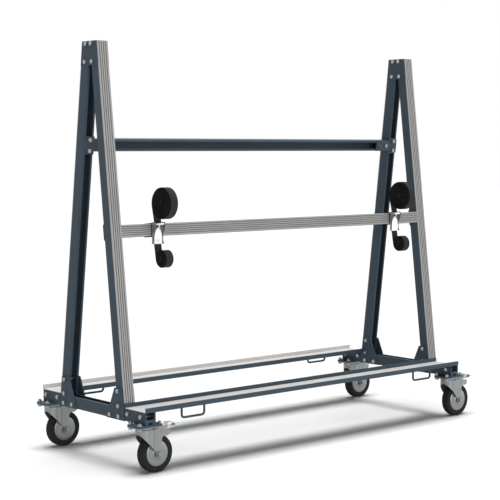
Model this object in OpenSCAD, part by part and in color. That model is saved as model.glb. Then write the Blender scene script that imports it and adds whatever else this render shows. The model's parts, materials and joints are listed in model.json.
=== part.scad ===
// Two-sided cart for sheet goods. Two steel frames shaped like the letter A stand on
// cross members, and sheets lean on their ribbed strips with an edge in a lined tray.
// Four braked swivel casters carry it. Sheets are tied with two webbing straps.
// X runs along the cart, Y from the front side to the rear side, Z up from the floor.

/* [Overall] */
// Length of the frame over the cross members
frame_l = 1950; // [1700:10:2300]
// Height of the frame above the floor
frame_h = 1800; // [1650:10:2000]
// Length of a cross member from front to rear
cross_l = 768; // [740:2:860]

/* [Channel section] */
// Width across the closed side of the channel
channel_w = 53; // [50:1:60]
// Depth from the closed side to the slot
channel_d = 51; // [48:1:58]
// Sheet thickness of the channel
channel_t = 2.5; // [2:0.5:3]
// Width of each lip beside the slot
channel_lip = 11; // [9:0.5:12]
// Outer corner radius of the channel
channel_r = 4; // [3.5:0.5:5]

/* [Leaning frames] */
// Half the distance between the two leaning faces at the top
top_half = 50; // [50:1:60]
// Height of the middle of the front bar
mid_bar_z = 996; // [900:2:1100]
// Height of the middle of the rear bar
top_bar_z = 1358; // [1250:2:1450]
// Thickness of the ribbed strips
strip_t = 4; // [4:0.5:6]
// Depth of the grooves in the strips
groove_d = 2.8; // [1.5:0.1:3]
// Width of the grooves in the strips
groove_w = 4.4; // [3:0.2:5]
// Number of ribs on a leg strip
leg_ribs = 5; // [4:1:7]
// Number of ribs on the bar strip
bar_ribs = 6; // [4:1:7]

/* [Joining plates] */
// Height of the plates that join the legs at the top
joint_plate_h = 103; // [98:1:130]
// Thickness of the top plates
joint_plate_t = 3; // [2:0.5:4]
// Height of the foot gussets
gusset_h = 133; // [122:1:160]
// Thickness of the foot gussets
gusset_t = 4; // [3:0.5:5]
// Width of a gusset at its top edge
gusset_top_w = 56; // [48:1:70]
// Width of a gusset at its bottom edge
gusset_foot_w = 131; // [118:1:160]
// Height of the brackets on the legs
bracket_h = 78; // [74:1:90]
// Length of the bracket arm over the bar
bracket_arm = 94; // [88:1:120]
// Thickness of the brackets
bracket_t = 4; // [3:0.5:5]
// Distance between the bolts of a bracket
bracket_pitch = 47; // [44:1:50]

/* [Trays] */
// Width of a tray over its edges, which also sets how far the legs lean
tray_w = 149; // [144:1:154]
// Sheet thickness of the trays
tray_t = 2.5; // [2:0.5:3]
// Height of the tray edges from the underside
tray_h = 22; // [18:1:40]
// Thickness of the tray lining
liner_t = 2.5; // [2:0.5:4]
// Gap between the tray and the legs
tray_gap = 0.7; // [0.5:0.1:2]

/* [Handles] */
// Diameter of the handle rod
rod_d = 10; // [8:1:12]
// Width of a handle over the rod
handle_w = 132; // [110:2:150]
// Drop of a handle below the tray
handle_drop = 47; // [42:1:49]
// Distance of the handles from the ends of the frame
handle_end = 259; // [245:1:325]
// Distance of a handle behind the tray edge
handle_inset = 14; // [10:1:20]
// Bend radius of the handle rod
handle_bend = 14; // [12:1:18]

/* [Casters] */
// Wheel diameter
wheel_d = 160; // [150:5:160]
// Tyre width
tyre_w = 40; // [34:1:44]
// Diameter of the wheel centre inside the tyre
rim_d = 110; // [100:1:120]
// Height of a caster to the top of its plate
caster_h = 199; // [199:1:210]
// Distance of the axle behind the swivel axis
trail = 50; // [46:1:54]
// Distance of the swivel axis from the cross member end
caster_inset = 39; // [36:1:44]
// Length of the caster plate
plate_l = 125; // [122:1:128]
// Width of the caster plate
plate_w = 90; // [87:1:92]
// Thickness of the caster plate
plate_t = 4; // [3:0.5:5]
// Hole distance along the plate
hole_pitch_x = 102; // [98:1:104]
// Hole distance across the plate
hole_pitch_y = 64; // [62:1:66]
// Thickness of the mounting plate over the caster
mount_t = 8; // [6:1:10]
// Width of the fork over its cheeks
fork_w = 59; // [57:1:62]
// Sheet thickness of the fork
fork_t = 3; // [2.5:0.5:3.5]
// Radius of the rounded front of the fork
apron_r = 40; // [38:1:42]
// Reach of the brake pedal from the swivel axis
pedal_reach = 185; // [175:1:195]
// Width of the brake pedal
pedal_w = 30; // [24:1:36]

/* [Straps] */
// Distance of the straps from the ends of the frame
strap_end = 235; // [205:5:375]
// Width of the webbing
webbing_w = 38; // [34:1:42]
// Thickness of the webbing
webbing_t = 3; // [2.5:0.1:3]
// Gap between the turns of a roll
turn_gap = 0.8; // [0.7:0.1:1]
// Turns in the upper roll
upper_turns = 15; // [12:1:15]
// Turns in the lower roll
lower_turns = 7; // [5:1:8]
// Width of the loop that carries the buckle
loop_w = 48; // [44:1:50]
// Width of the buckle over its ears
buckle_w = 56; // [54:1:62]
// Width of the buckle lever
lever_w = 42; // [36:1:44]
// Length of the buckle lever from its pin
lever_l = 86; // [80:1:88]

/* [Fasteners] */
// Diameter of the bolts
bolt_d = 10; // [8:1:10]
// Width across the flats of the bolt heads
bolt_af = 17; // [15:1:17]
// Clearance around a bolt in its hole
hole_clear = 0.5; // [0.3:0.1:0.8]

/* [Hidden] */
$fn = 48;

// Colours
paint = "#46525c";
strip_grey = "#a9a9a8";
liner_grey = "#cfcdca";
zinc = "#c3c6c8";
black = "#232323";

// Shared clearances
over = 1;          // overrun of a cut past the face it opens
seat = 0.3;        // gap between a piece and what holds it
run = 0.05;        // radial clearance of a running fit
lr_signs = [-1, 1];
mid_gap = 0.25;    // from the middle plane to each leg at the top

// Heights that follow from the casters up
cross_z = caster_h + mount_t;
deck_z = cross_z + channel_d;
cross_x = frame_l / 2 - channel_w / 2;
caster_y = cross_l / 2 - caster_inset;
wheel_r = wheel_d / 2;
// The box of the whole cart is centred on the origin along X
axis_shift = (pedal_reach - plate_l / 2) / 2;

// Leaning faces. The feet of the legs stand just inside the trays, and the lean follows from that.
foot_y = cross_l / 2 + tray_t - tray_w - tray_gap;
lean = atan((foot_y - top_half) / (frame_h - deck_z));
function lean_y(z) = top_half + (frame_h - z) * tan(lean);
lean_len = (frame_h - deck_z) / cos(lean) + channel_d;
tray_in_y = foot_y + tray_gap;
tray_out_y = cross_l / 2 + tray_t;
handle_x = frame_l / 2 - handle_end;
strap_x = frame_l / 2 - strap_end;
tray_top_z = deck_z + tray_h;
strip_foot_z = tray_top_z + seat;
bar_l = 2 * cross_x - channel_w;
// Distance down the leaning face to the middle of each bar
mid_bar_down = (frame_h - mid_bar_z) / cos(lean);
top_bar_down = (frame_h - top_bar_z - channel_d * sin(lean)) / cos(lean);

// Fasteners
hex_r = bolt_af / 2 / cos(30);
head_h = 0.64 * bolt_d;
nut_h = 0.8 * bolt_d;
washer_r = bolt_d;
washer_t = 0.2 * bolt_d;
bolt_r = bolt_d / 2;
hole_r = bolt_r + hole_clear;
thread_out = 0.3 * bolt_d;
nut_clear = 0.1;

// Bolt places in a gusset, inner edge to outer edge, each as [y, z] on the positive side
gusset_low_z = cross_z + channel_t + 1.4 * washer_r;
gusset_mid_z = deck_z + 1.6 * bolt_r;
gusset_top_z = cross_z + gusset_h - 1.15 * washer_r;
gusset_out = 0.66 * channel_d;
gusset_places = [
    [lean_y(gusset_top_z) - 0.55 * channel_d, gusset_top_z],
    [lean_y(gusset_mid_z) - 0.62 * channel_d, gusset_mid_z],
    [lean_y(gusset_low_z) - gusset_out, gusset_low_z],
    [lean_y(gusset_low_z) - gusset_foot_w + 3.3 * washer_r, gusset_low_z]
];
// Bolt places in a top plate
plate_place_top = [0.38 * top_half, frame_h - 1.2 * washer_r];
plate_place_low = [0.52 * top_half, frame_h - joint_plate_h + 1.45 * washer_r];
plate_lap = 2;     // reach of a top plate past the leaning faces
// Bolt places in a console
console_l = 140;
console_z = cross_z + 0.65 * channel_d;
console_places = [cross_l / 2 - console_l + 2 * washer_r, cross_l / 2 - 2.85 * washer_r];

// Channel nut behind the slot
slot_w = channel_w - 2 * channel_lip;
channel_nut_l = 2.4 * bolt_d;
channel_nut_t = 0.6 * bolt_d;
channel_nut_w = channel_w - 2 * channel_r - 2 * seat;
bracket_end = 1.8 * bolt_d;
bracket_chamfer = 0.8 * bolt_d;

// Caster parts, in heights from the floor and distances from the swivel axis
plate_z = caster_h - plate_t;
plate_corner = 10;
race_r = 0.82 * apron_r;
race_h = 8.7;
crown_z = plate_z - race_h - seat;
king_r = 8;
collar_r = 13;
collar_h = 6;
boss_r = 16;
apron_drop = 17;
apron_front_z = crown_z - apron_drop;
crease_x = sqrt(apron_r * apron_r - fork_w * fork_w / 4);
cheek_back = trail + 0.95 * boss_r;
fork_tail = 42;
fork_back = cheek_back + fork_tail;
cheek_turn_z = wheel_r + 0.54 * (crown_z - wheel_r);
fork_turn_z = wheel_r + 0.68 * (crown_z - wheel_r);
crown_back = cheek_back + 0.7 * boss_r;
tail_drop = 9;     // of the upper edge of the tail at its end
axle_r = 6;
axle_af = 19;
axle_hex_r = axle_af / 2 / cos(30);
axle_washer_t = 2;
axle_head_h = 9.5;
hub_gap = 0.5;
tyre_round = 0.18 * tyre_w;
// Wheel centre of two pressed shells: wall, hub tube, and run of a shell from the rim to the hub,
// as shares of the way in and of the rise from the side of the tyre to the end of the hub
shell_t = 2.5;
hub_r = 2 * axle_r;
rim_seat = 10;
shell_shares = [[0.05, 0.05], [0.2, 0.22], [0.4, 0.38], [0.6, 0.45], [0.66, 0.82], [0.76, 0.86],
    [0.82, 0.5], [1, 0.42]];
// Lower edge of the fork, as shares of the run and of the drop from its front to the axle boss
apron_end = [trail - 0.9 * boss_r, wheel_r + 0.45 * boss_r];
apron_shares = [[0, 1], [0.21, 0.74], [0.53, 0.4], [0.79, 0.17], [1, 0]];
pin_r = 3;
pin_head_r = 5;
pin_head_h = 2;
pin_down = 12;     // below the crown plate
pin_x = cheek_back + pin_r / 3;
pin_z = crown_z - fork_t - pin_down;
pedal_hub_r = 7;
pedal_t = 3;
// Run of each pedal leaf, as shares of its length from the pin and of the drop of the pin below the crown
pedal_run = pedal_reach - pin_x;
pedal_rise = crown_z - pin_z;
leaf_low_shares = [[0, 0.42], [0.16, 0.75], [0.33, 0.6], [0.53, 0.72], [0.73, 1.12], [1, 1.04]];
leaf_top_shares = [[0.345, 0.6], [0.36, 2.1], [0.58, 1.95], [0.74, 1.28], [0.86, 1.06]];

// Straps, with distances out from the leaning face at the middle of the front bar, and
// heights from the middle of the bar
roll_core = 10;    // radius of the space inside a roll
turn_pitch = webbing_t + turn_gap;
turn_points = 20;
upper_roll_r = roll_core + upper_turns * turn_pitch + webbing_t;
lower_roll_r = roll_core + lower_turns * turn_pitch + webbing_t;
upper_roll_out = 69;
upper_roll_rise = 46;
upper_roll_at = [upper_roll_out, upper_roll_r + upper_roll_rise];
lower_roll_out = 66;
lower_roll_drop = 83;
lower_roll_at = [lower_roll_out, -lower_roll_r - lower_roll_drop];
hang_out = (strip_t + channel_w * sin(lean) / 2) / cos(lean) + seat;
hang_top = 33;     // upper and lower end of the buckle plate
hang_foot = -61;
plate_h = hang_top - hang_foot;
plate_out = hang_out + webbing_t + seat;
buckle_t = 2;
web_in = plate_out + buckle_t + seat + webbing_t / 2;
buckle_pin_r = 3;
buckle_pin_out = 19;  // from the plate to the pin
buckle_pin_down = 8;  // from the top of the plate to the pin
buckle_pin_at = [plate_out + buckle_pin_out, hang_top - buckle_pin_down];
knuckle_r = 5;
knuckle_l = 0.72 * buckle_w;
lever_t = 2;
lever_gap = 0.7;   // from the webbing to the lever
lever_mid = web_in + webbing_t / 2 + lever_gap + lever_t / 2;
lever_foot_z = buckle_pin_at[1] - lever_l;
lever_hole_r = 2.5;
// Outline of the lever, as shares of half its width and of its length from the pin
lever_shares = [[0.2, 0], [0.2, 0.17], [0.4, 0.24], [0.6, 0.32], [0.78, 0.42], [0.88, 0.53], [0.98, 0.68],
    [1, 1]];
// Side view of the lever, as shares of the way in from its pin and of its length
lever_run_shares = [[0, 0], [0.15, 0.09], [0.92, 0.21], [1, 0.33], [1, 1]];
// Outline of a side of the buckle, its ear above and its rail below, as shares of the depth of the ear
// and of the height of the plate below its top
ear_d = 24;
ear_shares = [[0, 0], [0.85, 0], [1, 0.08], [0.92, 0.32], [0.3, 0.52], [0.3, 0.85], [0.6, 1], [0, 1]];
// Lengths of webbing that lie between the plate and the lever, from its ends
tuck_top = 25;
tuck_foot = 33;

// Bar frame of reference of the strap: the middle of the front bar on its leaning face
bar_face_y = lean_y(mid_bar_z);

// A rectangle with rounded corners, centred on X, standing on the line Y = 0
module rounded_plate(w, d, r) {
    translate([-w / 2 + r, 0]) square([w - 2 * r, d]);
    translate([-w / 2, r]) square([w, d - 2 * r]);
    for (x = [-w / 2 + r, w / 2 - r], y = [r, d - r]) translate([x, y]) circle(r);
}

// Outline of the lipped channel, closed side on Y = 0 and slot at Y = channel_d
module channel_outline() {
    inner_r = channel_r - channel_t;
    difference() {
        rounded_plate(channel_w, channel_d, channel_r);
        translate([0, channel_t])
            rounded_plate(channel_w - 2 * channel_t, channel_d - 2 * channel_t, inner_r);
        translate([-slot_w / 2, channel_d - channel_t - over])
            square([slot_w, channel_t + 2 * over]);
    }
}

// A straight length of channel along Z, closed side facing -Y
module channel(length) linear_extrude(length) channel_outline();

// Outline of a ribbed strip, flat back on Y = 0 and ribs towards +Y
module strip_outline(ribs) {
    pitch = channel_w / ribs;
    difference() {
        translate([-channel_w / 2, 0]) square([channel_w, strip_t]);
        for (i = [1 : ribs - 1]) translate([-channel_w / 2 + i * pitch, strip_t])
            polygon([[-groove_w / 2, over], [-groove_w / 2, 0], [-groove_w / 4, -groove_d],
                [groove_w / 4, -groove_d], [groove_w / 2, 0], [groove_w / 2, over]]);
    }
}

// Puts a piece in the leaning plane of one side: the leaning face is Y = 0, outwards is +Y,
// the top of the frame is Z = 0 and the leg runs down to negative Z
module leaning(side) {
    mirror([0, side < 0 ? 1 : 0, 0]) translate([0, top_half, frame_h]) rotate([lean, 0, 0]) children();
}

// Space that the legs and strips of one side fill, from a height up to the top
module side_space(side, z) {
    reach = cross_l;
    translate([-frame_l, side > 0 ? mid_gap : -reach - mid_gap, z]) cube([2 * frame_l, reach, frame_h - z]);
}

module hex_head(h, r) cylinder(h = h, r = r, $fn = 6);

// A bolt along Z: washer and head above Z = 0, shank below
module bolt(shank) {
    cylinder(h = washer_t, r = washer_r);
    translate([0, 0, washer_t]) hex_head(head_h, hex_r);
    translate([0, 0, -shank]) cylinder(h = shank + over, r = bolt_r);
}

// A nut below Z = 0, with its washer, around a bolt
module nut() {
    difference() {
        union() {
            translate([0, 0, -washer_t]) cylinder(h = washer_t, r = washer_r);
            translate([0, 0, -washer_t - nut_h]) hex_head(nut_h, hex_r);
        }
        translate([0, 0, -washer_t - nut_h - over])
            cylinder(h = washer_t + nut_h + 2 * over, r = bolt_r + nut_clear);
    }
}

// Bolt and nut through two walls that are a grip apart
function through_shank(grip) = grip + washer_t + nut_h + thread_out;

// Every bolt across a frame, as [y, z, grip], for one side
function cross_bolts() = concat(
    [for (p = gusset_places) [p[0], p[1], channel_w + 2 * gusset_t]],
    [for (p = [plate_place_top, plate_place_low]) [p[0], p[1], channel_w + 2 * joint_plate_t]],
    [for (y = console_places) [y, console_z, channel_w]]
);

// Holes along X for the bolts across a frame
module cross_holes(places) {
    for (side = lr_signs, p = places)
        translate([-channel_w, side * p[0], p[1]]) rotate([0, 90, 0])
            cylinder(h = 2 * channel_w, r = hole_r);
}

module cross_member(end) {
    color(paint) difference() {
        translate([end * cross_x, -cross_l / 2, cross_z]) rotate([-90, 0, 0])
            mirror([0, 1, 0]) channel(cross_l);
        translate([end * cross_x, 0, 0]) {
            cross_holes([for (i = [2, 3]) gusset_places[i]]);
            cross_holes([for (y = console_places) [y, console_z]]);
        }
    }
}

module leg(end, side) {
    color(paint) difference() {
        intersection() {
            translate([end * cross_x, 0, 0]) leaning(side) translate([0, 0, -lean_len])
                mirror([0, 1, 0]) channel(lean_len + channel_d);
            side_space(side, deck_z);
        }
        translate([end * cross_x, 0, 0])
            cross_holes([gusset_places[0], gusset_places[1], plate_place_top, plate_place_low]);
    }
}

module leg_strip(end, side) {
    color(strip_grey) intersection() {
        translate([end * cross_x, 0, 0]) leaning(side) translate([0, 0, -lean_len])
            linear_extrude(lean_len + channel_d) strip_outline(leg_ribs);
        side_space(side, strip_foot_z);
    }
}

// A plate across X from two thickness faces, drawn as [y, z] points
module side_plate(t, points) rotate([90, 0, 90]) linear_extrude(t) polygon(points);

module top_plates() {
    low_z = frame_h - joint_plate_h;
    top_y = top_half + plate_lap;
    low_y = lean_y(low_z) + plate_lap / 2;
    points = [[-top_y, frame_h], [-low_y, low_z], [low_y, low_z], [top_y, frame_h]];
    color(paint) for (end = lr_signs, face = lr_signs) difference() {
        translate([end * cross_x + face * (channel_w + joint_plate_t) / 2 - joint_plate_t / 2, 0, 0])
            side_plate(joint_plate_t, points);
        translate([end * cross_x, 0, 0]) cross_holes([plate_place_top, plate_place_low]);
    }
}

module foot_gussets() {
    top_z = cross_z + gusset_h;
    color(paint) for (end = lr_signs, side = lr_signs, face = lr_signs) difference() {
        translate([end * cross_x + face * (channel_w + gusset_t) / 2 - gusset_t / 2, 0, 0])
            side_plate(gusset_t, [[side * lean_y(top_z), top_z], [side * lean_y(cross_z), cross_z],
                [side * (lean_y(cross_z) - gusset_foot_w), cross_z],
                [side * (lean_y(top_z) - gusset_top_w), top_z]]);
        translate([end * cross_x, 0, 0]) cross_holes(gusset_places);
    }
}

// A bar of channel between the legs of one side, its middle a distance down the leaning face
module bar(side, down) {
    leaning(side) translate([-bar_l / 2, 0, -down]) rotate([90, 0, 90])
        linear_extrude(bar_l) rotate(90) channel_outline();
}

module top_bar() color(paint) bar(1, top_bar_down);

module mid_bar() color(paint) bar(-1, mid_bar_down);

module mid_bar_strip() {
    color(strip_grey) leaning(-1) translate([-bar_l / 2, 0, -mid_bar_down]) rotate([90, 0, 90])
        linear_extrude(bar_l) rotate(-90) strip_outline(bar_ribs);
}

// Bolt places of a bracket from the middle of the leg, x towards the bar and z up the lean
bracket_places = [
    [0, bracket_pitch / 2], [0, -bracket_pitch / 2],
    [channel_w / 2 + bracket_arm - bracket_end, 0],
    [channel_w / 2 + bracket_arm - bracket_end - bracket_pitch, 0]
];

// Runs its children at each bracket, on the slot face, with x towards the middle of the cart
module at_brackets() {
    for (side = lr_signs, end = lr_signs)
        leaning(side) translate([end * cross_x, -channel_d, side > 0 ? -top_bar_down : -mid_bar_down])
            mirror([end > 0 ? 1 : 0, 0, 0]) children();
}

module bracket_outline() {
    half = channel_w / 2;
    difference() {
        union() {
            translate([-half, -bracket_h / 2]) square([channel_w, bracket_h]);
            translate([-half, -half]) square([channel_w + bracket_arm, channel_w]);
        }
        for (z = lr_signs) translate([-half, z * bracket_h / 2]) rotate(45)
            square(bracket_chamfer * sqrt(2), center = true);
        for (p = bracket_places) translate(p) circle(hole_r);
    }
}

module bar_brackets() {
    color(paint) at_brackets() rotate([90, 0, 0]) linear_extrude(bracket_t) bracket_outline();
}

// A tray bent from sheet, drawn for the rear side and mirrored for the front
module tray_outline() {
    w = tray_out_y - tray_in_y;
    bend = 2 * tray_t;
    translate([tray_in_y, 0]) difference() {
        translate([w / 2, 0]) rounded_plate(w, tray_h + bend, bend);
        translate([w / 2, tray_t]) rounded_plate(w - 2 * tray_t, tray_h + bend, bend - tray_t);
        translate([-over, tray_h]) square([w + 2 * over, 2 * bend]);
    }
}

module tray(side) {
    color(paint) mirror([0, side < 0 ? 1 : 0, 0]) translate([-frame_l / 2, 0, deck_z])
        rotate([90, 0, 90]) linear_extrude(frame_l) tray_outline();
}

// Lining of the tray floor and of the inside of its outer edge
module liner_outline() {
    inner = tray_in_y + 2 * tray_t + seat;
    outer = tray_out_y - tray_t;
    floor_z = tray_t;
    difference() {
        translate([inner, floor_z]) square([outer - inner, tray_h - floor_z]);
        translate([inner - over, floor_z + liner_t])
            square([outer - inner - liner_t + over, tray_h]);
        translate([outer, floor_z]) rotate(45) square(2 * tray_t, center = true);
    }
}

module tray_liners() {
    color(liner_grey) for (side = lr_signs) mirror([0, side < 0 ? 1 : 0, 0])
        translate([-frame_l / 2, 0, deck_z]) rotate([90, 0, 90]) linear_extrude(frame_l) liner_outline();
}

// A rod bent to a U, hanging under the tray
module handle(end, side) {
    half = handle_w / 2 - rod_d / 2;
    straight = handle_drop - rod_d / 2 - handle_bend;
    color(paint) translate([end * handle_x, side * (tray_out_y - handle_inset), deck_z])
        rotate([-90, 0, 0]) {
            for (s = lr_signs) {
                translate([s * half, 0, 0]) rotate([-90, 0, 0]) cylinder(h = straight, d = rod_d);
                translate([s * (half - handle_bend), straight, 0]) rotate(s > 0 ? 0 : 90)
                    rotate_extrude(angle = 90) translate([handle_bend, 0]) circle(d = rod_d);
            }
            translate([-(half - handle_bend), straight + handle_bend, 0]) rotate([0, 90, 0])
                cylinder(h = 2 * (half - handle_bend), d = rod_d);
        }
}

// Folded steel console inside each end of a cross member, where the caster plate is bolted up
module console_outline() {
    w = channel_w - 2 * channel_t - 2 * seat;
    h = 0.78 * channel_d;
    wall = 0.08 * channel_d;
    foot_h = 0.15 * channel_d;
    floor_z = foot_h + wall;
    difference() {
        rounded_plate(w, h + channel_r, channel_r / 2);
        translate([-w / 2 + wall, floor_z]) square([w - 2 * wall, h + channel_r]);
        translate([-w / 2 - over, h]) square([w + 2 * over, channel_r + over]);
        translate([-slot_w / 3, -over]) square([2 * slot_w / 3, foot_h + over]);
    }
}

module end_consoles() {
    base_z = cross_z + channel_t;
    tab_z = 0.4 * channel_d;
    w = channel_w - 2 * channel_t - 2 * seat;
    color(paint) for (end = lr_signs, side = lr_signs) difference() {
        translate([end * cross_x, side > 0 ? cross_l / 2 : -cross_l / 2 + console_l, base_z]) {
            rotate([90, 0, 0]) linear_extrude(console_l) console_outline();
            translate([-w / 2, side > 0 ? -gusset_t : -console_l, 0.15 * channel_d])
                cube([w, gusset_t, tab_z - 0.15 * channel_d]);
        }
        translate([end * cross_x, 0, 0]) cross_holes([for (y = console_places) [y, console_z]]);
    }
}

// Runs its children at each swivel axis
module at_casters() {
    for (end = lr_signs, side = lr_signs) translate([end * cross_x, side * caster_y, 0]) children();
}

plate_holes = [for (x = lr_signs, y = lr_signs) [x * hole_pitch_x / 2, y * hole_pitch_y / 2]];

module plate_outline() {
    difference() {
        translate([0, -plate_w / 2]) rounded_plate(plate_l, plate_w, plate_corner);
        for (p = plate_holes) translate(p) circle(hole_r);
    }
}

module mounting_plates() {
    color(paint) at_casters() translate([0, 0, caster_h]) linear_extrude(mount_t) plate_outline();
}

module caster_bolts() {
    grip = plate_t + mount_t;
    color(zinc) at_casters() for (p = plate_holes)
        translate([p[0], p[1], plate_z]) mirror([0, 0, 1]) {
            bolt(through_shank(grip));
            translate([0, 0, -grip]) nut();
        }
}

// Plate, ball race and king pin, all fixed to the cart
module caster_plates() {
    color(zinc) at_casters() {
        translate([0, 0, plate_z]) linear_extrude(plate_t) plate_outline();
        translate([0, 0, plate_z - race_h]) cylinder(h = race_h + plate_t / 2, r = race_r);
        translate([0, 0, crown_z - fork_t - seat - collar_h])
            cylinder(h = plate_z - crown_z + fork_t + seat + collar_h, r = king_r);
        translate([0, 0, crown_z - fork_t - seat - collar_h]) cylinder(h = collar_h, r = collar_r);
    }
}

// Plan of the fork: a round front that runs into two flat cheeks
module fork_plan(inset) {
    circle(apron_r - inset);
    translate([crease_x - inset, -fork_w / 2 + inset])
        square([fork_back - crease_x + 2 * inset, fork_w - 2 * inset]);
}

// Side view of the fork, x to the right and z up
module fork_side() {
    polygon(concat([[-apron_r, crown_z]],
        [for (s = apron_shares) [-apron_r + s[0] * (apron_end[0] + apron_r),
            apron_end[1] + s[1] * (apron_front_z - apron_end[1])]],
        [[trail, wheel_r], [cheek_back, wheel_r], [cheek_back, cheek_turn_z],
            [cheek_back + 0.15 * boss_r, 0.4 * cheek_turn_z + 0.6 * fork_turn_z],
            [cheek_back + 0.6 * boss_r, fork_turn_z], [fork_back - 0.8 * boss_r, fork_turn_z],
            [fork_back - 0.2 * boss_r, fork_turn_z + 0.25 * boss_r],
            [fork_back, fork_turn_z + 0.6 * boss_r], [fork_back, crown_z - tail_drop],
            [crown_back, crown_z - 1.4 * fork_t], [crown_back, crown_z]]));
    translate([trail, wheel_r]) circle(boss_r);
}

module fork(end, side) {
    tall = crown_z - wheel_r + boss_r;
    color(zinc) translate([end * cross_x, side * caster_y, 0]) difference() {
        intersection() {
            union() {
                translate([0, 0, crown_z - tall]) linear_extrude(tall) difference() {
                    fork_plan(0);
                    fork_plan(fork_t);
                }
                translate([0, 0, crown_z - fork_t]) linear_extrude(fork_t) fork_plan(0);
            }
            translate([0, fork_w, 0]) rotate([90, 0, 0]) linear_extrude(2 * fork_w) fork_side();
        }
        translate([0, 0, crown_z - fork_t - over]) cylinder(h = fork_t + 2 * over, r = king_r + run);
        translate([trail, fork_w, wheel_r]) rotate([90, 0, 0]) cylinder(h = 2 * fork_w, r = axle_r + run);
        translate([pin_x, fork_w, pin_z]) rotate([90, 0, 0]) cylinder(h = 2 * fork_w, r = pin_r + run);
    }
}

// Places a turned piece on the wheel axis, its axis along Y
module on_axle(end, side) {
    translate([end * cross_x + trail, side * caster_y, wheel_r]) rotate([90, 0, 0]) children();
}

module tyre(end, side) {
    inner = rim_d / 2 + run;
    color(black) on_axle(end, side) rotate_extrude($fn = 96)
        translate([(inner + wheel_r) / 2, -tyre_w / 2])
            rounded_plate(wheel_r - inner, tyre_w, tyre_round);
}

// Wheel centre: a hub tube and two pressed shells whose rims carry the tyre
module wheel(end, side) {
    hub_half = fork_w / 2 - fork_t - hub_gap;
    mid_r = rim_d / 2 - shell_t / 2;
    mid_y = tyre_w / 2 - shell_t / 2;
    run_in = hub_r - shell_t / 2 - mid_r;
    rise = hub_half - tyre_w / 2;
    bore = axle_r + run;
    shell = concat([[mid_r, tyre_w / 2 - rim_seat], [mid_r, mid_y - shell_t / 2]],
        [for (s = shell_shares) [mid_r + s[0] * run_in, mid_y + s[1] * rise]]);
    color(zinc) on_axle(end, side) rotate_extrude($fn = 96) {
        translate([bore, -hub_half]) square([hub_r - bore, 2 * hub_half]);
        for (half = [0, 1]) mirror([0, half]) leaf(shell, shell_t);
    }
}

// Axle bolt with its washers and nut, the nut towards the middle of the cart, and the pin of the pedal
module axle(end, side) {
    half = fork_w / 2;
    out = half + axle_washer_t;
    color(zinc) on_axle(end, side) {
        mirror([0, 0, side < 0 ? 1 : 0]) translate([0, 0, -out - axle_head_h])
            cylinder(h = 2 * (out + axle_head_h) + thread_out, r = axle_r);
        for (s = lr_signs) {
            translate([0, 0, s > 0 ? half : -out]) cylinder(h = axle_washer_t, r = hub_r);
            translate([0, 0, s > 0 ? out : -out - axle_head_h]) hex_head(axle_head_h, axle_hex_r);
        }
        translate([pin_x - trail, pin_z - wheel_r, -half - pin_head_h])
            cylinder(h = fork_w + 2 * pin_head_h, r = pin_r);
        for (s = lr_signs) translate([pin_x - trail, pin_z - wheel_r, s > 0 ? half : -half - pin_head_h])
            cylinder(h = pin_head_h, r = pin_head_r);
    }
}

// Outline of a leaf of even thickness along a run of points
function leaf_normal(p, i) =
    let (a = p[max(i - 1, 0)], b = p[min(i + 1, len(p) - 1)], d = b - a) [-d[1], d[0]] / norm(d);
module leaf(points, t) {
    n = len(points);
    polygon(concat([for (i = [0 : n - 1]) points[i] + leaf_normal(points, i) * t / 2],
        [for (i = [n - 1 : -1 : 0]) points[i] - leaf_normal(points, i) * t / 2]));
}
function pedal_points(shares) = [for (s = shares) [pin_x + s[0] * pedal_run, pin_z + s[1] * pedal_rise]];

// Brake pedal: hub on its pin, and lower and upper leaf that meet at the tip
module pedal(end, side) {
    hub_half = fork_w / 2 - fork_t - hub_gap;
    low = pedal_points(leaf_low_shares);
    color(zinc) translate([end * cross_x, side * caster_y, 0]) difference() {
        union() {
            translate([pin_x, hub_half, pin_z]) rotate([90, 0, 0])
                cylinder(h = 2 * hub_half, r = pedal_hub_r);
            intersection() {
                translate([0, pedal_w / 2, 0]) rotate([90, 0, 0]) linear_extrude(pedal_w) {
                    leaf(concat(low, [[pedal_reach + pedal_t, low[5][1]]]), pedal_t);
                    leaf(pedal_points(leaf_top_shares), pedal_t);
                }
                translate([0, -pedal_w, 0]) cube([pedal_reach, 2 * pedal_w, cross_z]);
            }
        }
        translate([pin_x, fork_w, pin_z]) rotate([90, 0, 0]) cylinder(h = 2 * fork_w, r = pin_r + run);
    }
}

module frame_bolts() {
    color(zinc) {
        for (end = lr_signs, side = lr_signs, b = cross_bolts())
            translate([end * cross_x - b[2] / 2, side * b[0], b[1]]) rotate([0, -90, 0])
                bolt(through_shank(b[2]));
        at_brackets() for (p = bracket_places) translate([p[0], -bracket_t, p[1]]) rotate([90, 0, 0])
            bolt(bracket_t + channel_t + channel_nut_t + thread_out);
    }
}

module frame_nuts() {
    color(zinc) {
        for (end = lr_signs, side = lr_signs, b = cross_bolts())
            translate([end * cross_x + b[2] / 2, side * b[0], b[1]]) rotate([0, -90, 0]) nut();
        at_brackets() for (i = [0 : len(bracket_places) - 1]) translate([bracket_places[i][0], channel_t,
            bracket_places[i][1]]) rotate([-90, 0, 0]) difference() {
                across = i < 2 ? [channel_nut_w, channel_nut_l] : [channel_nut_l, channel_nut_w];
                translate([-across[0] / 2, -across[1] / 2, 0]) cube([across[0], across[1], channel_nut_t]);
                translate([0, 0, -over]) cylinder(h = channel_nut_t + 2 * over, r = bolt_r + nut_clear);
            }
    }
}

// Straps. The frame of reference is upright, on the leaning face at the middle of the front bar,
// with +Y away from the cart.
module at_strap(end) {
    mirror([0, 1, 0]) translate([end * strap_x, bar_face_y, mid_bar_z]) children();
}

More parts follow.
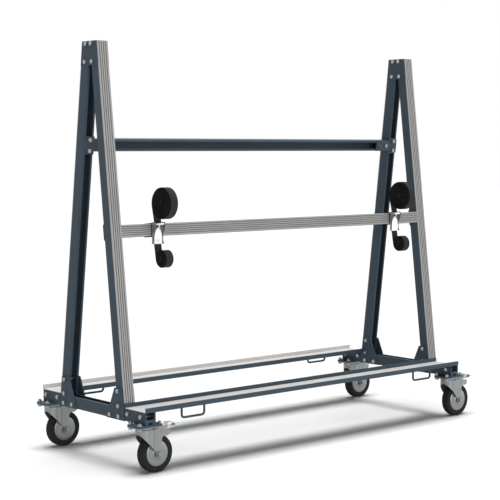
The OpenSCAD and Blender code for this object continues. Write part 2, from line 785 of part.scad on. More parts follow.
// Places points across a strap: first number out from the bar, second number up
module strap_band(width, points) {
    translate([-width / 2, 0, 0]) rotate([90, 0, 90]) linear_extrude(width) polygon(points);
}

// Angle at which webbing that comes from a point touches a roll
function touch_angle(at, from, r, s) =
    atan2(from[1] - at[1], from[0] - at[0]) - s * acos(r / norm(from - at));

// Middle line of a roll from its core outwards and on to the point the webbing comes from
function roll_line(at, turns, from, s) = let (
    r_end = roll_core + webbing_t / 2 + turn_pitch * turns,
    a_end = touch_angle(at, from, r_end, s),
    leave = at + r_end * [cos(a_end), sin(a_end)]
) concat([for (i = [0 : turns * turn_points])
    let (r = roll_core + webbing_t / 2 + turn_pitch * i / turn_points,
        a = a_end + s * 360 * (i / turn_points - turns)) at + r * [cos(a), sin(a)]],
    [for (k = [1 : 5]) leave + (from - leave) * k / 5]);

// Outline of webbing of even thickness along a line
function web_outline(line) = let (n = len(line), h = webbing_t / 2) concat(
    [for (i = [0 : n - 1]) line[i] + leaf_normal(line, i) * h],
    [for (i = [n - 1 : -1 : 0]) line[i] - leaf_normal(line, i) * h]);

// Least clear gap between turns, measured from each point of the line to those most of a turn away
function least_gap(line) = let (skip = floor(turn_points * 0.6), n = len(line))
    min([for (i = [0 : n - 1 - skip]) min([for (j = [i + skip : n - 1]) norm(line[i] - line[j])])])
    - webbing_t;

// The webbing of each roll runs into the buckle between the plate and the lever
upper_line = concat(roll_line(upper_roll_at, upper_turns, [web_in, hang_top + webbing_t], 1),
    [[web_in, hang_top - tuck_top]]);
lower_line = concat(roll_line(lower_roll_at, lower_turns, [web_in, hang_foot - webbing_t / 3], -1),
    [[web_in, hang_foot + tuck_foot]]);
echo(str("least gap in the upper roll ", least_gap(upper_line), " mm"));
echo(str("least gap in the lower roll ", least_gap(lower_line), " mm"));

module upper_roll(end) color(black) at_strap(end) strap_band(webbing_w, web_outline(upper_line));

module lower_roll(end) color(black) at_strap(end) strap_band(webbing_w, web_outline(lower_line));

// Webbing sewn into a loop round the bar, with a tail that hangs in front of it
module strap_loop(end) {
    w = channel_d + strip_t + 2 * seat;
    h = channel_w + 2 * seat;
    color(black) {
        mirror([0, 1, 0]) translate([end * strap_x, 0, 0]) leaning(1)
            translate([-loop_w / 2, 0, -mid_bar_down]) rotate([90, 0, 90]) linear_extrude(loop_w)
                translate([-channel_d - seat, -h / 2]) difference() {
                    translate([w / 2, -webbing_t])
                        rounded_plate(w + 2 * webbing_t, h + 2 * webbing_t, webbing_t);
                    square([w, h]);
                }
        at_strap(end) translate([-loop_w / 2, hang_out, hang_foot])
            cube([loop_w, webbing_t, plate_h]);
    }
}

// Plate of the buckle with an ear and a rail at each side of the lever
module buckle_frame(end) {
    color(zinc) at_strap(end) difference() {
        union() {
            translate([-buckle_w / 2, plate_out, hang_foot]) cube([buckle_w, buckle_t, plate_h]);
            for (s = lr_signs) translate([s * (buckle_w - buckle_t) / 2 - buckle_t / 2, plate_out, hang_top])
                rotate([90, 0, 90]) linear_extrude(buckle_t)
                    polygon([for (p = ear_shares) [p[0] * ear_d, -p[1] * plate_h]]);
        }
        on_pin() cylinder(h = 2 * buckle_w, r = buckle_pin_r + run, center = true);
    }
}

// Places a turned piece on the pin of the buckle, its axis along X
module on_pin() translate([0, buckle_pin_at[0], buckle_pin_at[1]]) rotate([0, 90, 0]) children();

module buckle_lever(end) {
    outline = [for (p = lever_shares) [p[0] * lever_w / 2, -p[1] * lever_l]];
    far_side = [for (i = [len(outline) - 1 : -1 : 0]) [-outline[i][0], outline[i][1]]];
    side_view = [for (p = lever_run_shares)
        buckle_pin_at + [p[0] * (lever_mid - buckle_pin_at[0]), -p[1] * lever_l]];
    color(zinc) at_strap(end) difference() {
        union() {
            on_pin() cylinder(h = knuckle_l, r = knuckle_r, center = true);
            intersection() {
                translate([-lever_w / 2, 0, 0]) rotate([90, 0, 90]) linear_extrude(lever_w)
                    leaf(side_view, lever_t);
                translate([0, 2 * buckle_w, buckle_pin_at[1]]) rotate([90, 0, 0])
                    linear_extrude(2 * buckle_w)
                    polygon(concat(outline, far_side));
            }
        }
        on_pin() cylinder(h = 2 * buckle_w, r = buckle_pin_r + run, center = true);
        translate([0, 2 * buckle_w, lever_foot_z + 6 * lever_hole_r]) rotate([90, 0, 0])
            cylinder(h = 2 * buckle_w, r = lever_hole_r);
    }
}

module buckle_pins() {
    color(zinc) for (end = lr_signs) at_strap(end) {
        on_pin() cylinder(h = buckle_w, r = buckle_pin_r, center = true);
        for (s = lr_signs) translate([s * (buckle_w + buckle_t) / 2, 0, 0])
            on_pin() cylinder(h = buckle_t, r = 1.5 * buckle_pin_r, center = true);
    }
}

// Shifts the cart so that the middle of its whole box is on the origin
module placed() translate([-axis_shift, 0, 0]) children();

placed() cross_member(-1);  // cross_member_left
placed() cross_member(1);  // cross_member_right
placed() leg(-1, -1);  // leg_front_left
placed() leg(1, -1);  // leg_front_right
placed() leg(-1, 1);  // leg_rear_left
placed() leg(1, 1);  // leg_rear_right
placed() leg_strip(-1, -1);  // leg_strip_front_left
placed() leg_strip(1, -1);  // leg_strip_front_right
placed() leg_strip(-1, 1);  // leg_strip_rear_left
placed() leg_strip(1, 1);  // leg_strip_rear_right
placed() top_plates();
placed() foot_gussets();
placed() top_bar();
placed() mid_bar();
placed() mid_bar_strip();
placed() bar_brackets();
placed() tray(-1);  // tray_front
placed() tray(1);  // tray_rear
placed() tray_liners();
placed() handle(-1, -1);  // handle_front_left
placed() handle(1, -1);  // handle_front_right
placed() handle(-1, 1);  // handle_rear_left
placed() handle(1, 1);  // handle_rear_right
placed() end_consoles();
placed() mounting_plates();
placed() frame_bolts();
placed() frame_nuts();
placed() caster_bolts();
placed() caster_plates();
placed() fork(-1, -1);  // fork_front_left
placed() fork(1, -1);  // fork_front_right
placed() fork(-1, 1);  // fork_rear_left
placed() fork(1, 1);  // fork_rear_right
placed() tyre(-1, -1);  // tyre_front_left
placed() tyre(1, -1);  // tyre_front_right
placed() tyre(-1, 1);  // tyre_rear_left
placed() tyre(1, 1);  // tyre_rear_right
placed() wheel(-1, -1);  // wheel_front_left
placed() wheel(1, -1);  // wheel_front_right
placed() wheel(-1, 1);  // wheel_rear_left
placed() wheel(1, 1);  // wheel_rear_right
placed() axle(-1, -1);  // axle_front_left
placed() axle(1, -1);  // axle_front_right
placed() axle(-1, 1);  // axle_rear_left
placed() axle(1, 1);  // axle_rear_right
placed() pedal(-1, -1);  // pedal_front_left
placed() pedal(1, -1);  // pedal_front_right
placed() pedal(-1, 1);  // pedal_rear_left
placed() pedal(1, 1);  // pedal_rear_right
placed() strap_loop(-1);  // strap_loop_left
placed() strap_loop(1);  // strap_loop_right
placed() upper_roll(-1);  // upper_roll_left
placed() upper_roll(1);  // upper_roll_right
placed() lower_roll(-1);  // lower_roll_left
placed() lower_roll(1);  // lower_roll_right
placed() buckle_frame(-1);  // buckle_frame_left
placed() buckle_frame(1);  // buckle_frame_right
placed() buckle_lever(-1);  // buckle_lever_left
placed() buckle_lever(1);  // buckle_lever_right
placed() buckle_pins();
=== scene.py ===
# %% [markdown]
# # A two-sided cart for sheet goods
# The cart is a pair of steel frames shaped like the letter A, joined by two long trays.
# Boards or glass lean on ribbed strips with their lower edge in a lined tray, and two
# webbing straps tie them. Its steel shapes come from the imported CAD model, so this lesson
# keeps them where they are, gives each one a finish, and models the soft webbing anew.

import json
import math

import bmesh
import bpy
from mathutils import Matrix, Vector


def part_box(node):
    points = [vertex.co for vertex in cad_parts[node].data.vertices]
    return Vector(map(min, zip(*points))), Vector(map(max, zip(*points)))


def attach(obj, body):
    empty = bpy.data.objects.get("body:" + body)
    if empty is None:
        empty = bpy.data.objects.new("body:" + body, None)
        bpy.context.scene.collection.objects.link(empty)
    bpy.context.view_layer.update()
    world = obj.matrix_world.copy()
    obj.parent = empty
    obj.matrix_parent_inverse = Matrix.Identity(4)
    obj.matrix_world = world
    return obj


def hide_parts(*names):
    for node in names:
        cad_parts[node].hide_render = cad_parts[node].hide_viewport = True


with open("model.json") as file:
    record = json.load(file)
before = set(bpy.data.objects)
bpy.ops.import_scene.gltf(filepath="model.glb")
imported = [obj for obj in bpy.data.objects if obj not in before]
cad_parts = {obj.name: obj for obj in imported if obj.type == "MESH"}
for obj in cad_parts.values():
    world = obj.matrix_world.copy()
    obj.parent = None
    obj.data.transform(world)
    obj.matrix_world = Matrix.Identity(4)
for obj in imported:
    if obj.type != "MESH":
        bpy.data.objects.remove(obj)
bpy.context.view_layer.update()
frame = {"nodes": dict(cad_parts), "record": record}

# %% [markdown]
# Blender works in metres and the cart was measured in millimetres, so one small function
# turns one into the other. The places of the bar, the rolls and the buckles are read from
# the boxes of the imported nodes, so nothing has to be measured twice.

# %% Units
MM = 0.001


def mm(x, y, z):
    """A point given in millimetres, in metres."""
    return Vector((x * MM, y * MM, z * MM))


# %% [markdown]
# ## The camera
# The cart is seen from its left front and from three quarters of its height, through a long
# lens, so its far end is only a little smaller than its near end. A camera that looks down
# from there makes upright edges lean. A photographer looks down less and shifts the lens
# to keep them nearly upright, and so does this camera, with shift_y.

# %% Camera
VIEW_AZIMUTH = math.radians(40.99)
VIEW_PITCH = math.radians(3.51)
IMAGE_PX = 500
FOCAL_PX = 1396
SENSOR_MM = 36
LENS_SHIFT_PX = -16.6
CAMERA_REACH = 100  # metres
# The whole box is centred on the origin, so the middle of the frame is a little to the left
FRAME_MIDDLE = mm(-61.25, 0, 0)
CAMERA_FROM_MIDDLE = mm(-4368.8, -4943.2, 1347.4)

camera = bpy.data.objects.new("camera", bpy.data.cameras.new("camera"))
bpy.context.scene.collection.objects.link(camera)
bpy.context.scene.camera = camera
camera.data.sensor_width = SENSOR_MM
camera.data.lens = FOCAL_PX / IMAGE_PX * SENSOR_MM
camera.data.shift_y = LENS_SHIFT_PX / IMAGE_PX
camera.data.clip_end = CAMERA_REACH
camera.location = CAMERA_FROM_MIDDLE + FRAME_MIDDLE
look = Vector((
    math.sin(VIEW_AZIMUTH) * math.cos(VIEW_PITCH),
    math.cos(VIEW_AZIMUTH) * math.cos(VIEW_PITCH),
    -math.sin(VIEW_PITCH),
))
camera.rotation_euler = look.to_track_quat("-Z", "Y").to_euler()
print("lens in mm:", round(camera.data.lens, 1))

# %% [markdown]
# ## Colours and nodes
# Colours are picked as they look on screen, which is sRGB, while shaders count in linear
# light. One function turns the first into the second. A second one adds a node to a
# material, sets its inputs and links it, so each finish below reads as a short list.

# %% Helpers for finishes
def srgb(code):
    """The linear colour, with alpha, of an sRGB hex code such as #3F4B55."""
    parts = [int(code[i:i + 2], 16) / 255 for i in (1, 3, 5)]
    return [p / 12.92 if p <= 0.04045 else ((p + 0.055) / 1.055) ** 2.4 for p in parts] + [1.0]


def add_node(tree, kind, settings=None, **inputs):
    """Adds a node. settings are its own values; inputs are numbers, colours or sockets to link."""
    made = tree.nodes.new("ShaderNode" + kind)
    for name, value in (settings or {}).items():
        setattr(made, name, value)
    for name, value in inputs.items():
        key = int(name[1:]) if name[0] == "i" and name[1:].isdigit() else name.replace("_", " ")
        if isinstance(value, bpy.types.NodeSocket):
            tree.links.new(value, made.inputs[key])
        else:
            made.inputs[key].default_value = value
    return made


def new_material(name):
    """A new material, its empty tree and the object's own coordinates in it."""
    material = bpy.data.materials.new(name)
    material.use_nodes = True
    tree = material.node_tree
    tree.nodes.clear()
    place = add_node(tree, "TexCoord").outputs["Object"]
    return material, tree, place


def finish_material(tree, shader):
    """Links a shader to a new output of the material."""
    add_node(tree, "OutputMaterial", Surface=shader.outputs[0])


def per_metre(size_mm):
    """The scale of a texture whose marks are a size in millimetres."""
    return 1 / (size_mm * MM)


def mix(tree, share, first, second):
    """A colour between two, from the first at a share of 0 to the second at 1."""
    return add_node(tree, "MixRGB", Fac=share, Color1=first, Color2=second).outputs[0]


print("grey 50% on screen is", round(srgb("#808080")[0], 3), "in linear light")

# %% [markdown]
# Grooves and the hollows round bolt heads get painted shade, which makes them look deeper.
# It could be painted by hand. Here the Ambient Occlusion node finds the places: it tells how
# much of the space round a point is open within a few millimetres, and the colour gets darker
# where that is little.

# %% Painted shade in corners
DARKEST_SHADE_AT = 0.45  # share of the space that is open where the painted shade is at its darkest
NO_SHADE_AT = 0.9
DARKEST_SHADE_LEAVES = 0.3  # share of the colour that the darkest painted shade leaves


def painted_shade_in_corners(tree, colour, size_mm):
    """The colour with painted shade, darker where the surface is hemmed in within a few millimetres."""
    # painted shade: the colour goes darker where little of the space round a point is open
    hemmed_in = add_node(tree, "AmbientOcclusion", {"samples": 8}, Distance=size_mm * MM)
    unshaded = add_node(tree, "MapRange", Value=hemmed_in.outputs["AO"],
                     From_Min=DARKEST_SHADE_AT, From_Max=NO_SHADE_AT, To_Min=DARKEST_SHADE_LEAVES)
    darker = add_node(tree, "MixRGB", {"blend_type": "MULTIPLY"},
                      Fac=1.0, Color1=colour, Color2=unshaded.outputs[0])
    return darker.outputs[0]


# %% [markdown]
# ## Powder-coated steel
# The frame is welded and bolted steel with a blue-grey powder coat: a plastic powder that
# is sprayed on dry and melted in an oven. It flows a little as it melts, which leaves a
# faint orange-peel skin with a satin shine. A noise of a few millimetres in the bump makes
# that skin, and slower noises shift the colour and the shine a little, as on a real sheet.

# %% Powder coat
PEEL_MM = 3.5  # the real skin is nearer 1 mm and would not show
SHADE_MM = 160
COAT_EDGE_MM = 0.8


def soft_edges(tree, radius_mm):
    """A normal that rounds sharp CAD edges a little, as folding and coating do."""
    return add_node(tree, "Bevel", {"samples": 4}, Radius=radius_mm * MM).outputs[0]


powder_coat, tree, place = new_material("powder_coated_steel")
slow = add_node(tree, "TexNoise", Vector=place, Scale=per_metre(SHADE_MM), Detail=3.0)
shade = mix(tree, slow.outputs["Fac"], srgb("#3F4D59"), srgb("#495863"))
peel = add_node(tree, "TexNoise", Vector=place, Scale=per_metre(PEEL_MM), Detail=1.0)
skin = add_node(tree, "Bump", Strength=0.12, Distance=0.15 * MM, Height=peel.outputs["Fac"],
                Normal=soft_edges(tree, COAT_EDGE_MM))
shine = add_node(tree, "MapRange", Value=slow.outputs["Fac"], To_Min=0.42, To_Max=0.54)
coat = add_node(tree, "BsdfPrincipled", Base_Color=shade, Roughness=shine.outputs[0],
                IOR=1.5, Specular_IOR_Level=0.15, Normal=skin.outputs[0])
finish_material(tree, coat)
print(powder_coat.name, "is made of", len(tree.nodes), "nodes")

# %% [markdown]
# ## Zinc plate
# Bolts, casters and buckles are steel plated with zinc. Zinc is a pale, slightly blue metal
# that grows in small crystals, so its shine is mottled and soft and not like a mirror. A
# Voronoi pattern of a few millimetres gives the crystals, each with its own roughness. Old
# plate is partly covered by dull oxide, which scatters light as paint does, so it is mixed
# from metal and a dull skin. The casters are dull, and the bolts and levers newer and
# brighter, so one function makes all of them from two tones, a roughness and the share of
# metal.

# %% Zinc plate
CRYSTAL_MM = 4  # real ones are far finer and would not show
MOTTLE_MM = 40
ZINC_EDGE_MM = 0.6
CRYSTAL_SPREAD = 0.02  # how far the roughness of a crystal is from the middle value


def zinc_finish(name, dark, light, roughness, metal_share, painted_shade_mm=None):
    """Electroplated zinc: metal with a crystal mottle and soft edges."""
    material, tree, place = new_material(name)
    crystals = add_node(tree, "TexVoronoi", Vector=place, Scale=per_metre(CRYSTAL_MM))
    crystal_tone = add_node(tree, "SeparateColor", Color=crystals.outputs["Color"])
    mottle = add_node(tree, "TexNoise", Vector=place, Scale=per_metre(MOTTLE_MM), Detail=4.0)
    colour = mix(tree, mottle.outputs["Fac"], srgb(dark), srgb(light))
    # painted shade in hollows, darker where the surface is hemmed in
    if painted_shade_mm:
        colour = painted_shade_in_corners(tree, colour, painted_shade_mm)
    shine = add_node(tree, "MapRange", Value=crystal_tone.outputs[0],
                     To_Min=roughness - CRYSTAL_SPREAD, To_Max=roughness + CRYSTAL_SPREAD)
    bump = add_node(tree, "Bump", Strength=0.04, Distance=0.1 * MM, Height=mottle.outputs["Fac"],
                    Normal=soft_edges(tree, ZINC_EDGE_MM))
    metal = add_node(tree, "BsdfPrincipled", Base_Color=colour, Metallic=metal_share,
                     Roughness=shine.outputs[0], Normal=bump.outputs[0])
    finish_material(tree, metal)
    return material


zinc_plate = zinc_finish("zinc_plated_pressed_steel", "#8C8F90", "#999C9D", 0.42, 0.7)
wheel_plate = zinc_finish("zinc_plated_wheel_shell", "#8E9091", "#9A9C9D", 0.3, 0.65)
# the bolts get painted shade round their heads
bolt_plate = zinc_finish("zinc_plated_forged_bolt", "#9C9E9F", "#B0B2B3", 0.2, 0.85, painted_shade_mm=5)
lever_plate = zinc_finish("bright_zinc_plated_lever", "#E6E8E9", "#F1F2F2", 0.36, 0.9)
print("zinc finishes:", [m.name for m in (zinc_plate, wheel_plate, bolt_plate, lever_plate)])

# %% [markdown]
# ## Rubber
# The ribbed strips and the tray linings are extruded rubber, pale so that they do not mark
# the goods, with a dull skin. The tyres are moulded rubber, nearly black and with a fine
# grain from the mould. Rubber reflects little, so its specular level is low. A fine noise in
# the bump makes the grain, and a slow one the change of tone. The narrow grooves of the
# strips get painted shade, darker where they are deep and narrow.

# %% Rubber
TONE_MM = 90
DULL_SPREAD = 0.06  # how far the roughness goes from the middle value


def matt_rubber(name, dark, light, roughness, grain_mm, bump_mm, specular, painted_shade_mm=None):
    """Moulded or extruded rubber with a fine grain and a faint change of tone."""
    material, tree, place = new_material(name)
    tone = add_node(tree, "TexNoise", Vector=place, Scale=per_metre(TONE_MM), Detail=4.0)
    colour = mix(tree, tone.outputs["Fac"], srgb(dark), srgb(light))
    # painted shade in grooves, darker where the surface is hemmed in
    if painted_shade_mm:
        colour = painted_shade_in_corners(tree, colour, painted_shade_mm)
    grain = add_node(tree, "TexNoise", Vector=place, Scale=per_metre(grain_mm), Detail=2.0)
    rough = add_node(tree, "Bump", Strength=0.25, Distance=bump_mm * MM, Height=grain.outputs["Fac"])
    dull = add_node(tree, "MapRange", Value=tone.outputs["Fac"],
                    To_Min=roughness - DULL_SPREAD, To_Max=roughness + DULL_SPREAD)
    shader = add_node(tree, "BsdfPrincipled", Base_Color=colour, Roughness=dull.outputs[0],
                      IOR=1.5, Specular_IOR_Level=specular, Normal=rough.outputs[0])
    finish_material(tree, shader)
    return material


# the ribbed strips get painted shade in their grooves
ribbed_rubber = matt_rubber("extruded_grey_rubber", "#A9A9A8", "#B6B6B5", 0.62, 3, 0.1, 0.25, 7)
tray_lining = matt_rubber("smooth_pale_rubber", "#D2D0CD", "#DEDCD9", 0.6, 4, 0.1, 0.25)
tyre_rubber = matt_rubber("moulded_black_rubber", "#262626", "#303030", 0.72, 2.5, 0.15, 0.1)
print("rubbers:", [m.name for m in (ribbed_rubber, tray_lining, tyre_rubber)])

# %% [markdown]
# ## Woven webbing
# The straps are flat polyester webbing. Thick threads run along it side by side and a thin
# thread crosses them, which gives fine ribs across and along. One wave texture makes each
# set of threads, and the higher of the two shows. The pattern follows the strap round its
# rolls, so it reads a UV map in millimetres: U along, V across. The woven edges face
# sideways, and the deep shade between the turns of a roll is painted on them as near black.

# %% Webbing
THREAD_MM = 1.382  # drawn about twice as coarse as real webbing, so that it shows
FUZZ_MM = 12
WAVE_LENGTH = math.pi / 10  # of a wave texture whose scale is 1
webbing, tree, place = new_material("woven_black_polyester")
along = add_node(tree, "UVMap", {"uv_map": "strap_mm"}).outputs[0]
threads = {"Vector": along, "Scale": WAVE_LENGTH / THREAD_MM}
warp = add_node(tree, "TexWave", {"bands_direction": "Y"}, **threads)
weft = add_node(tree, "TexWave", {"bands_direction": "X"}, **threads)
weave = add_node(tree, "Math", {"operation": "MAXIMUM"}, i0=warp.outputs["Fac"], i1=weft.outputs["Fac"])
fuzz = add_node(tree, "TexNoise", Vector=place, Scale=per_metre(FUZZ_MM), Detail=5.0)
weave_bump = add_node(tree, "Bump", Strength=0.6, Distance=0.3 * MM, Height=weave.outputs[0])
thread_colour = mix(tree, fuzz.outputs["Fac"], srgb("#2E2E2F"), srgb("#3E3E3F"))
faces_side = add_node(tree, "SeparateXYZ", Vector=add_node(tree, "TexCoord").outputs["Normal"])
sideways = add_node(tree, "Math", {"operation": "ABSOLUTE"}, i0=faces_side.outputs["X"])
# painted shade: faces that look sideways, the edges of the webbing, are painted near black
edge_painted_shade = add_node(tree, "MapRange", Value=sideways.outputs[0], From_Min=0.5, From_Max=0.9)
cloth_colour = mix(tree, edge_painted_shade.outputs[0], thread_colour, srgb("#0E0E0E"))
cloth = add_node(tree, "BsdfPrincipled", Base_Color=cloth_colour, Roughness=0.9,
                 Specular_IOR_Level=0.06, Sheen_Weight=0.04, Sheen_Roughness=0.5,
                 Normal=weave_bump.outputs[0])
finish_material(tree, cloth)
print(webbing.name, "has threads", THREAD_MM, "mm apart")

# %% [markdown]
# ## A finish for each CAD part
# The record names a material slot for each node, so a small table from slot to finish is
# enough to dress the whole frame. Bolts, pedals and buckle levers are zinc too, but brighter
# than the rest, so a second table names them by the start of their name.

# %% Dress the CAD parts
FINISHES = {
    "paint": powder_coat, "zinc": zinc_plate, "strip": ribbed_rubber, "liner": tray_lining,
    "tyre": tyre_rubber, "wheel": wheel_plate, "webbing": webbing,
}
BRIGHTER = {
    "frame_bolts": bolt_plate, "caster_bolts": bolt_plate,
    "buckle_lever": lever_plate, "pedal": lever_plate,
}
slot_of = {part["node"]: part["material_slot"] for part in frame["record"]["subparts"]}
for name, part in frame["nodes"].items():
    brighter = [finish for start, finish in BRIGHTER.items() if name.startswith(start)]
    part.data.materials.clear()
    part.data.materials.append(brighter[0] if brighter else FINISHES[slot_of[name]])
print("dressed", len(frame["nodes"]), "CAD parts")

# %% [markdown]
# ## The straps
# Each strap is polyester webbing 3 mm thick. One length is sewn into a loop round the low
# bar, with a tail that hangs behind the buckle. A long one is rolled up above the buckle
# and a short one below it, and both run in between the buckle's plate and its lever. Seen
# from the side a roll is a spiral whose radius grows by one thickness and a small gap in
# each turn. So the path of the webbing is drawn first, as a line of points in the plane
# across the bar, and the line is then extruded sideways to the width of the webbing. All
# lengths of the straps are in millimetres.

# %% Where the straps are
STRAP_ENDS = ("left", "right")
WEBBING_T = 3
WEBBING_W = 38
LOOP_W = 48
CORE_R = 10
TURN_PITCH = 3.8
TURNS = {"upper": 15, "lower": 7}
ROLL_R = {kind: CORE_R + n * TURN_PITCH + WEBBING_T for kind, n in TURNS.items()}


def node_box(name):
    """The lowest and the highest corner of a CAD node, in millimetres."""
    low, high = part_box(name)
    return Vector(low) / MM, Vector(high) / MM


def roll_middle(kind, end):
    """The middle of a roll in Y and Z, from the box of its CAD solid."""
    low, high = node_box(f"{kind}_roll_{end}")
    r = ROLL_R[kind]
    return Vector((low.y + r, high.z - r if kind == "upper" else low.z + r))


print("roll radii in mm:", ROLL_R, "middle of the upper left roll:", roll_middle("upper", "left"))

# %% [markdown]
# The helper below turns a line of points into a band. A curve with a flat profile could do
# it too, but has no UV map in real lengths. So the helper makes the points and the edges
# between them and extrudes the edges across in a few steps. Each point remembers how far
# along the webbing it is, and extruding copies that number, so the UV map for the weave is
# in millimetres of real webbing. A Solidify modifier gives the band its thickness, and a
# Bevel modifier its soft edges.

# %% A band of webbing
STEPS_ACROSS = 6
THINNER = 0.1  # so that the band stays just inside its CAD solid
SOFT_EDGE_R = 0.7


def webbing_band(name, line, middle_x, width, closed=False):
    """Webbing along a line of (y, z) points in mm, with its middle at middle_x."""
    band = bmesh.new()
    along = band.verts.layers.float.new("along")
    row = [band.verts.new(mm(middle_x - width / 2, y, z)) for y, z in line]
    for before, vert in zip(row, row[1:]):
        vert[along] = before[along] + (vert.co - before.co).length / MM
    whole = row[-1][along] + (row[0].co - row[-1].co).length / MM
    edges = [band.edges.new(pair) for pair in zip(row, row[1:] + row[:1] if closed else row[1:])]
    for _ in range(STEPS_ACROSS):
        grown = bmesh.ops.extrude_edge_only(band, edges=edges)["geom"]
        moved = {g for g in grown if isinstance(g, bmesh.types.BMVert)}
        edges = [g for g in grown if isinstance(g, bmesh.types.BMEdge) and moved.issuperset(g.verts)]
        bmesh.ops.translate(band, verts=list(moved), vec=mm(width / STEPS_ACROSS, 0, 0))
    strap_mm = band.loops.layers.uv.new("strap_mm")
    for face in band.faces:
        reached = [v[along] for v in face.verts]
        seam = closed and max(reached) - min(reached) > whole / 2
        for loop in face.loops:
            u = whole if seam and loop.vert[along] == 0 else loop.vert[along]
            loop[strap_mm].uv = (u, loop.vert.co.x / MM - middle_x)
    data = bpy.data.meshes.new(name)
    band.to_mesh(data)
    band.free()
    data.shade_smooth()
    data.materials.append(webbing)
    piece = bpy.data.objects.new(name, data)
    bpy.context.scene.collection.objects.link(piece)
    wall = piece.modifiers.new("thickness", "SOLIDIFY")
    wall.thickness = (WEBBING_T - THINNER) * MM
    wall.offset = 0
    edge = piece.modifiers.new("soft edges", "BEVEL")
    edge.width = SOFT_EDGE_R * MM
    edge.segments = 2
    edge.limit_method = "ANGLE"
    edge.angle_limit = math.radians(60)
    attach(piece, "frame")
    return piece


# %% [markdown]
# The line of a roll starts at the core and winds outwards. The webbing leaves its last
# turn along a tangent, straight to the place where it enters the buckle. The angle of that
# tangent point follows from the triangle of roll, touching point and buckle.

# %% The two rolls of each strap
POINTS_PER_TURN = 40
STRAIGHT_STEPS = 6
WEB_BEHIND_PLATE = 3.8  # from the back of the buckle's plate to the middle of the webbing
TUCK = {"upper": 25, "lower": 33}  # from the bend to the webbing's end in the buckle
ENTRY = {"upper": 3, "lower": -1}  # height of the bend over the end of the plate
WINDING = {"upper": 1, "lower": -1}


def roll_line(kind, end):
    """The middle line of a rolled webbing, from its core to its end in the buckle."""
    turns = TURNS[kind]
    way = WINDING[kind]
    plate_low, plate_high = node_box(f"buckle_frame_{end}")
    edge_z = plate_high.z if kind == "upper" else plate_low.z
    entry = Vector((plate_high.y - WEB_BEHIND_PLATE, edge_z + ENTRY[kind]))
    middle = roll_middle(kind, end)
    first_r = CORE_R + WEBBING_T / 2
    last_r = first_r + turns * TURN_PITCH
    # Outwards from the cart is -Y, so angles are counted in a plane whose first axis is -Y
    to_entry = Vector((middle.x - entry.x, entry.y - middle.y))
    touch = math.atan2(to_entry.y, to_entry.x) - way * math.acos(last_r / to_entry.length)
    line = []
    for i in range(turns * POINTS_PER_TURN + 1):
        done = i / POINTS_PER_TURN
        r = first_r + TURN_PITCH * done
        angle = touch + way * 2 * math.pi * (done - turns)
        line.append(middle + r * Vector((-math.cos(angle), math.sin(angle))))
    line += [line[-1].lerp(entry, (k + 1) / STRAIGHT_STEPS) for k in range(STRAIGHT_STEPS)]
    line.append(entry - Vector((0, way * TUCK[kind])))
    return line


for end in STRAP_ENDS:
    low, high = node_box(f"upper_roll_{end}")
    middle_x = (low.x + high.x) / 2
    for kind in TURNS:
        roll = webbing_band(f"{kind}_webbing_roll_{end}", roll_line(kind, end), middle_x, WEBBING_W)
        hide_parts(f"{kind}_roll_{end}")
        print(roll.name, "has", len(roll.data.vertices), "points")

# %% [markdown]
# The loop goes tightly round the bar and its ribbed strip. It starts as one flat face of
# the right size with its corners bevelled, and the edge of that face is the line of the
# loop. The tail is a short straight piece that hangs from it behind the buckle.

# %% The loop and the tail
LEAN = math.radians(6.907)  # of the legs, and so of the bar between them
BAR_W = 53
BAR_D = 51
STRIP_T = 4
LOOP_ROOM = 0.3
LOOP_CORNER = 2.2
TAIL_BEHIND_PLATE = 1.8


def loop_line():
    """A rectangle with rounded corners round the bar, turned by the lean of the frame."""
    low, high = node_box("mid_bar")
    more = 2 * LOOP_ROOM + WEBBING_T
    shape = bmesh.new()
    bmesh.ops.create_grid(shape, x_segments=1, y_segments=1, size=0.5)
    bmesh.ops.scale(shape, verts=shape.verts, vec=(BAR_D + STRIP_T + more, BAR_W + more, 1))
    bmesh.ops.bevel(shape, geom=list(shape.verts), offset=LOOP_CORNER, offset_type="OFFSET",
                    segments=3, profile=0.5, affect="VERTICES", material=-1)
    outwards = Vector((-math.cos(LEAN), math.sin(LEAN)))
    upwards = Vector((math.sin(LEAN), math.cos(LEAN)))
    middle = Vector(((low.y + high.y) / 2, (low.z + high.z) / 2)) + outwards * STRIP_T / 2
    line = [middle + outwards * v.co.x + upwards * v.co.y for v in next(iter(shape.faces)).verts]
    shape.free()
    return line


for end in STRAP_ENDS:
    low, high = node_box(f"strap_loop_{end}")
    plate_low, plate_high = node_box(f"buckle_frame_{end}")
    middle_x = (low.x + high.x) / 2
    loop = webbing_band(f"webbing_loop_{end}", loop_line(), middle_x, LOOP_W, closed=True)
    tail_y = plate_high.y + TAIL_BEHIND_PLATE
    tail_line = [Vector((tail_y, z)) for z in (plate_low.z, plate_high.z)]
    tail = webbing_band(f"webbing_tail_{end}", tail_line, middle_x, LOOP_W)
    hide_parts(f"strap_loop_{end}")
    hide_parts(f"strap_loop_{end}")
    print(loop.name, "and", tail.name, "at x =", round(middle_x, 2), "mm")

# %% [markdown]
# ## The floor and the light
# A product picture is taken on a white sweep. Most of the light comes from a large soft
# source overhead, so dark soft shadows lie right under the trays, and a wider, weaker one
# from the front opens up the near faces. A third, low on the right, puts highlights on bolts
# and wheels. All three are sun lamps, because a sun is equally strong all over the floor.
# The white floor sends light up again, and the world is white to the camera and to shiny
# metal while it lights the cart only a little.

# %% Floor
FLOOR_HALF = 30  # metres
FIBRE_MM = 6
sheet = bmesh.new()
bmesh.ops.create_grid(sheet, x_segments=1, y_segments=1, size=FLOOR_HALF)
floor_data = bpy.data.meshes.new("floor")
sheet.to_mesh(floor_data)
sheet.free()
floor = bpy.data.objects.new("floor", floor_data)
bpy.context.scene.collection.objects.link(floor)

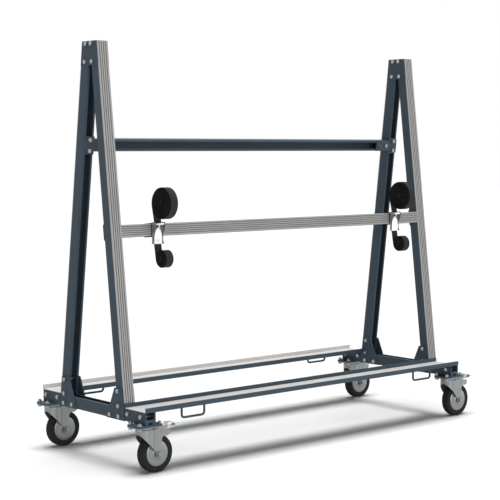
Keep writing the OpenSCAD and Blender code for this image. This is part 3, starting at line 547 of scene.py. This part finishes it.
floor_paper, tree, place = new_material("white_paper_floor")
seen = add_node(tree, "LightPath")
grain = add_node(tree, "TexNoise", Vector=place, Scale=per_metre(FIBRE_MM), Detail=2.0)
fibres = add_node(tree, "Bump", Strength=0.05, Distance=0.1 * MM, Height=grain.outputs["Fac"])
tone = mix(tree, seen.outputs["Is Camera Ray"], srgb("#E7E7E7"), srgb("#FFFFFF"))
paper = add_node(tree, "BsdfDiffuse", Color=tone, Normal=fibres.outputs[0])
finish_material(tree, paper)
floor_data.materials.append(floor_paper)
print("the floor is", 2 * FLOOR_HALF, "m wide")

# %% World and lamps
WORLD_LIGHT = 0.07
TOP_LIGHT = 2.93
FRONT_LIGHT = 1.36
RIGHT_LIGHT = 0.6
world = bpy.data.worlds.new("studio")
bpy.context.scene.world = world
world.use_nodes = True
tree = world.node_tree
tree.nodes.clear()
rays = add_node(tree, "LightPath")
seen_or_clear = add_node(tree, "Math", {"operation": "MAXIMUM"},
                         i0=rays.outputs["Is Camera Ray"], i1=rays.outputs["Is Transmission Ray"])
seen_or_shown = add_node(tree, "Math", {"operation": "MAXIMUM"},
                         i0=seen_or_clear.outputs[0], i1=rays.outputs["Is Glossy Ray"])
strength = add_node(tree, "MapRange", Value=seen_or_shown.outputs[0], To_Min=WORLD_LIGHT, To_Max=1.0)
sky = add_node(tree, "Background", Color=srgb("#FFFFFF"), Strength=strength.outputs[0])
add_node(tree, "OutputWorld", Surface=sky.outputs[0])


def sun_lamp(name, comes_from, width_degrees, strength):
    """A lamp far away in a direction, as wide in the sky as the angle says."""
    lamp = bpy.data.objects.new(name, bpy.data.lights.new(name, "SUN"))
    bpy.context.scene.collection.objects.link(lamp)
    lamp.data.angle = math.radians(width_degrees)
    lamp.data.energy = strength
    lamp.rotation_euler = Vector(comes_from).to_track_quat("Z", "Y").to_euler()
    print(name, "is", width_degrees, "degrees wide")


sun_lamp("overhead_light", (0.03, 0.02, 1), 36, TOP_LIGHT)
sun_lamp("front_light", (-0.31, -1, 0.08), 50, FRONT_LIGHT)
sun_lamp("right_light", (0.84, -0.52, 0.1), 24, RIGHT_LIGHT)
bpy.context.scene.view_settings.view_transform = "Standard"
